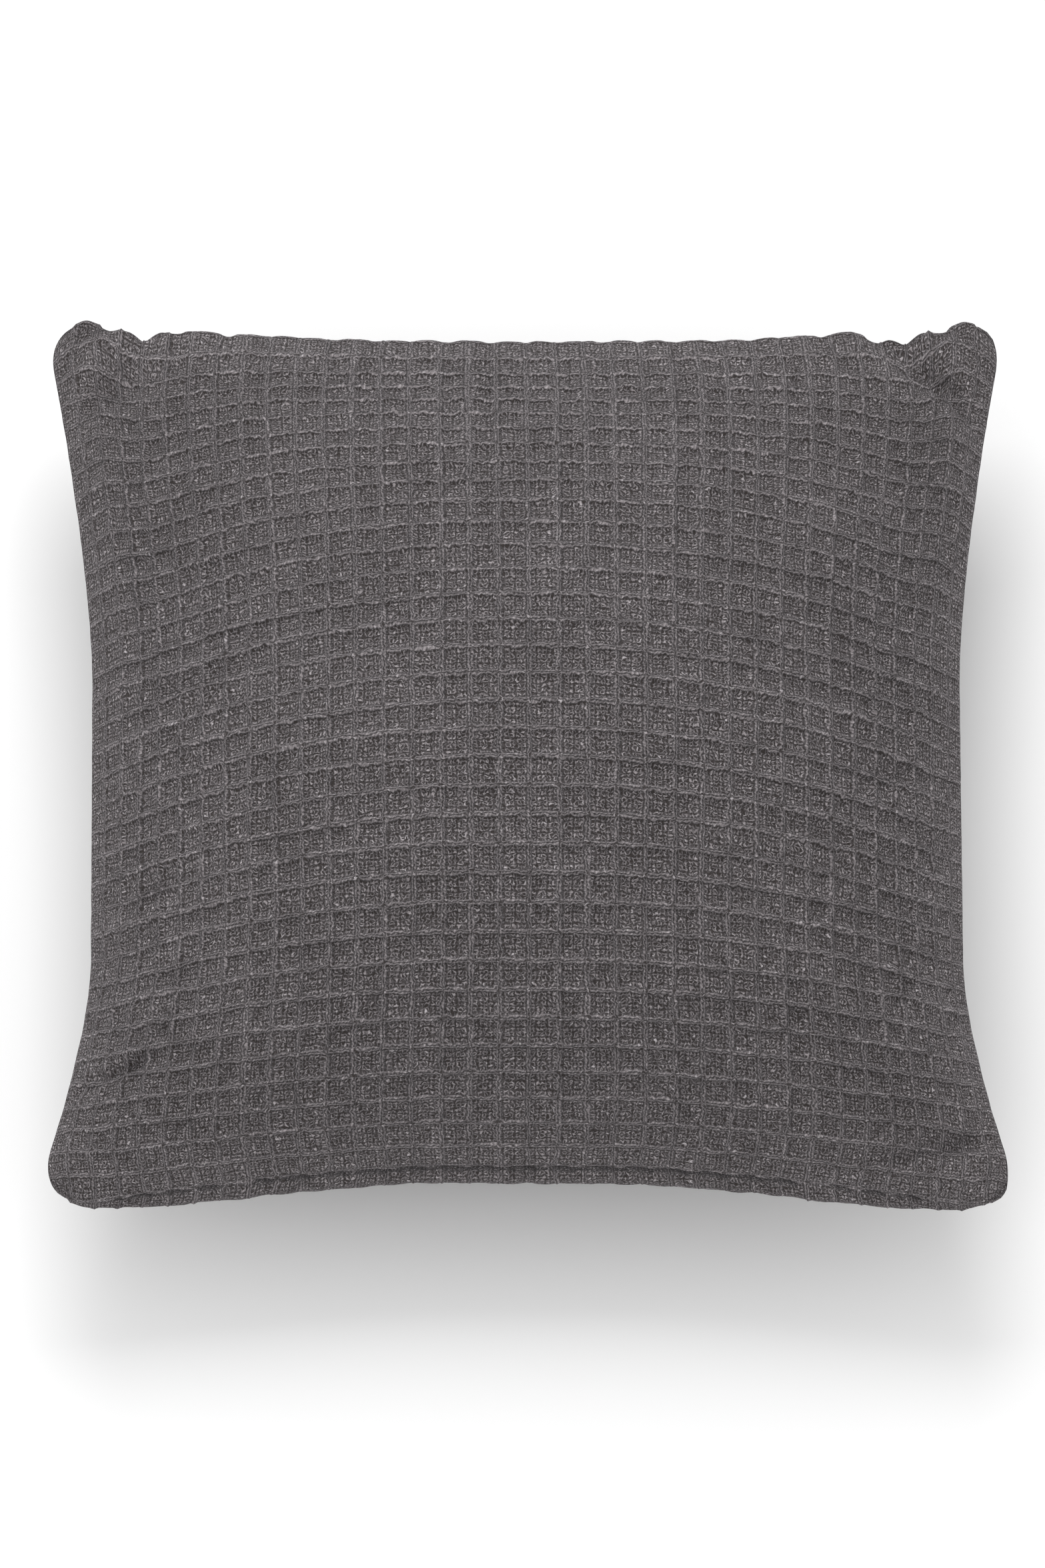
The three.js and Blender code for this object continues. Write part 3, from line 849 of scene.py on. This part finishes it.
def inside_cover(cloth, inset, under, floor):
    """A copy of the filled cover, made smaller to lie inside it."""
    inside = filled_cover(cloth).copy()
    x, y, z = points_of(inside).T
    z = z - SEAM_Z
    front = z * (z.max() - under) / z.max()
    back = z * (z.min() + under) / z.min()
    share = (REACH - inset) / REACH
    points = np.column_stack([x * share, y * share, np.where(z > 0, front, back) + SEAM_Z])
    set_points(inside, press_on_floor(points, FLOOR + floor))
    return inside


class PILLOW_OT_cover(Operator):
    """Make the two panels of the cover, filled"""

    bl_idname = "pillow.cover"
    bl_label = "Cover"

    def execute(self, context):
        cloth = context.scene.pillow_cloth
        filled = filled_cover(cloth)
        woven = honeycomb_cloth("cover_honeycomb_cloth", context.scene.pillow_colours, cloth)
        for name, side, seed in (("cover_front", FRONT, 11), ("cover_back", BACK, 23)):
            panel = cover_panel(name, filled, side, cloth, woven, seed)
            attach(panel, "cushion")
            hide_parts(f"{name}_panel")
        return {"FINISHED"}


# ---------------------------------------------------------------- the insert


class PILLOW_OT_insert(Operator):
    """Make the two halves of the insert's case"""

    bl_idname = "pillow.insert"
    bl_label = "Insert"

    def execute(self, context):
        cloth = context.scene.pillow_cloth
        ticking = plain_cloth("ticking_cloth", context.scene.pillow_colours.ticking, 0.0008)
        case = inside_cover(cloth, INSERT_INSET, INSERT_UNDER, INSERT_FLOOR)
        for name, side, seed in (("insert_front", FRONT, 31), ("insert_back", BACK, 43)):
            face = one_panel(case, side, 2)
            lift = wrinkles(uv_of_points(face), cloth, seed)
            set_points(face, points_of(face) + normals_of(face) * lift[:, None])
            inner = one_panel(case, side, 0)
            set_points(inner, points_of(inner) - normals_of(inner) * TICKING_WALL)
            half = closed_shell(name, face, inner, ticking)
            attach(half, "cushion")
            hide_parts(f"{name}_ticking")
        finish_nodes(plain_cloth("ticking_thread", (0.86, 0.85, 0.82), 0.0006), ("insert_seam_thread",))
        return {"FINISHED"}


class PILLOW_OT_filling(Operator):
    """Make the loose fibre inside the insert"""

    bl_idname = "pillow.filling"
    bl_label = "Filling"

    def execute(self, context):
        cloth = context.scene.pillow_cloth
        fibre = loose_fibre("polyester_fibre", (0.9, 0.89, 0.86))
        mass = subdivided(inside_cover(cloth, FILLING_INSET, FILLING_UNDER, FILLING_FLOOR), 1)
        places = uv_of_points(mass)
        tufts = 1.0 * smooth_noise(places, 30, 51) + 0.6 * smooth_noise(places, 90, 52) - 1.2
        set_points(mass, points_of(mass) + normals_of(mass) * (tufts * MM)[:, None])
        filling = placed("filling_fibre", mass, fibre)
        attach(filling, "cushion")
        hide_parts("fibre_filling")
        return {"FINISHED"}


# ---------------------------------------------------------------- zip, threads and label


def finish_nodes(material, names):
    """Gives frame nodes their material, and leaves their shape alone."""
    for name in names:
        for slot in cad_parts[name].material_slots:
            slot.material = material


class PILLOW_OT_zip(Operator):
    """Finish the zip: tapes, teeth, stops, slider and pull"""

    bl_idname = "pillow.zip"
    bl_label = "Zip"

    def execute(self, context):
        colours = context.scene.pillow_colours
        tape = plain_cloth("zip_tape", colours.tape, 0.0009, 0.8)
        finish_nodes(tape, ("zip_tape_front", "zip_tape_back"))
        nylon = moulded_nylon("zip_nylon", (0.035, 0.032, 0.034))
        finish_nodes(nylon, ("zip_teeth_front", "zip_teeth_back"))
        metal = lacquered_metal("zip_lacquered_metal", colours.metal)
        finish_nodes(metal, ("zip_slider", "zip_pull", "zip_top_stop", "zip_bottom_stop"))
        return {"FINISHED"}


class PILLOW_OT_threads(Operator):
    """Finish the stitches of the cover and the overlock on its raw edges"""

    bl_idname = "pillow.threads"
    bl_label = "Threads"

    def execute(self, context):
        thread = plain_cloth("sewing_thread", context.scene.pillow_colours.thread, 0.0006, 0.7)
        finish_nodes(thread, ("cover_seam_thread", "cover_overlock_thread"))
        finish_nodes(thread, ("zip_stitching_front", "zip_stitching_back"))
        return {"FINISHED"}


class PILLOW_OT_label(Operator):
    """Finish the blank label inside the cover"""

    bl_idname = "pillow.label"
    bl_label = "Label"

    def execute(self, context):
        finish_nodes(plain_cloth("label_ribbon", (0.8, 0.78, 0.73), 0.0005, 0.5), ("care_label",))
        return {"FINISHED"}


# ---------------------------------------------------------------- the stage


class PILLOW_OT_stage(Operator):
    """Set the floor, the lights and the camera"""

    bl_idname = "pillow.stage"
    bl_label = "Stage"

    def execute(self, context):
        scene = context.scene
        stage = scene.pillow_stage
        scene.view_settings.view_transform = "Standard"

        mesh = bmesh.new()
        bmesh.ops.create_grid(mesh, x_segments=1, y_segments=1, size=6.0)
        data = bpy.data.meshes.new("studio_floor")
        mesh.to_mesh(data)
        mesh.free()
        floor = bpy.data.objects.new("studio_floor", data)
        scene.collection.objects.link(floor)
        recipe = Recipe("studio_floor")
        data.materials.append(recipe.finish(Base_Color=(0.93, 0.93, 0.93, 1.0), Roughness=0.9))

        world = bpy.data.worlds.new("studio_light")
        world.use_nodes = True
        background = world.node_tree.nodes["Background"]
        background.inputs["Color"].default_value = (1.0, 1.0, 1.0, 1.0)
        background.inputs["Strength"].default_value = 0.85
        scene.world = world

        middle = Vector((0.0, 0.0, SEAM_Z))
        lamp(scene, "key_light", (-0.15, 1.3, 1.9), middle, 1.3, 24.0)
        lamp(scene, "fill_light", (-1.0, -1.3, 1.6), middle, 1.4, 7.0)
        camera(scene, stage, middle)
        return {"FINISHED"}


def aim(thing, target, up):
    """Turns a camera or a lamp at a point, with up towards the top of its view."""
    back = (thing.location - target).normalized()
    right = up.cross(back).normalized()
    turned = Matrix((right, back.cross(right), back)).transposed()
    thing.rotation_euler = turned.to_euler()


def lamp(scene, name, place, target, size, power):
    light = bpy.data.lights.new(name, "AREA")
    light.shape = "SQUARE"
    light.size = size
    light.energy = power
    thing = bpy.data.objects.new(name, light)
    scene.collection.objects.link(thing)
    thing.location = place
    aim(thing, target, Vector((0.0, 0.0, 1.0)))


def camera(scene, stage, middle):
    """A long lens over the pillow, tipped towards its -Y seam."""
    lens = bpy.data.cameras.new("camera")
    lens.sensor_width = 36.0
    height = stage.frame_width * PICTURE_ASPECT
    lens.lens = lens.sensor_width * stage.distance / height
    thing = bpy.data.objects.new("camera", lens)
    scene.collection.objects.link(thing)
    towards = Vector((math.sin(stage.turn), -math.sin(stage.tilt), math.cos(stage.tilt))).normalized()
    target = middle + Vector((-0.0018, -0.0125, 0.0))
    thing.location = target + towards * stage.distance
    aim(thing, target, Vector((math.sin(stage.roll), math.cos(stage.roll), 0.0)))
    scene.camera = thing


class PILLOW_PT_panel(Panel):
    """The pillow's sizes, colours and steps"""

    bl_label = "Pillow"
    bl_idname = "PILLOW_PT_panel"
    bl_space_type = "VIEW_3D"
    bl_region_type = "UI"
    bl_category = "Pillow"

    def draw(self, context):
        for group in (context.scene.pillow_cloth, context.scene.pillow_colours, context.scene.pillow_stage):
            box = self.layout.box()
            for name in group.bl_rna.properties.keys():
                if name not in {"rna_type", "name"}:
                    box.prop(group, name)
        for step in STEPS:
            self.layout.operator(step.bl_idname)


GROUPS = (("pillow_cloth", PillowCloth), ("pillow_colours", PillowColours), ("pillow_stage", PillowStage))
STEPS = (
    PILLOW_OT_stage,
    PILLOW_OT_cover,
    PILLOW_OT_insert,
    PILLOW_OT_filling,
    PILLOW_OT_zip,
    PILLOW_OT_threads,
    PILLOW_OT_label,
)


def register():
    for name, group in GROUPS:
        bpy.utils.register_class(group)
        setattr(bpy.types.Scene, name, PointerProperty(type=group))
    for step in (*STEPS, PILLOW_PT_panel):
        bpy.utils.register_class(step)


def unregister():
    for step in (*STEPS, PILLOW_PT_panel):
        bpy.utils.unregister_class(step)
    for name, group in GROUPS:
        delattr(bpy.types.Scene, name)
        bpy.utils.unregister_class(group)


def main():
    register()
    bpy.ops.pillow.stage()
    bpy.ops.pillow.cover()
    bpy.ops.pillow.insert()
    bpy.ops.pillow.filling()
    bpy.ops.pillow.zip()
    bpy.ops.pillow.threads()
    bpy.ops.pillow.label()


if __name__ == "__main__":
    main()
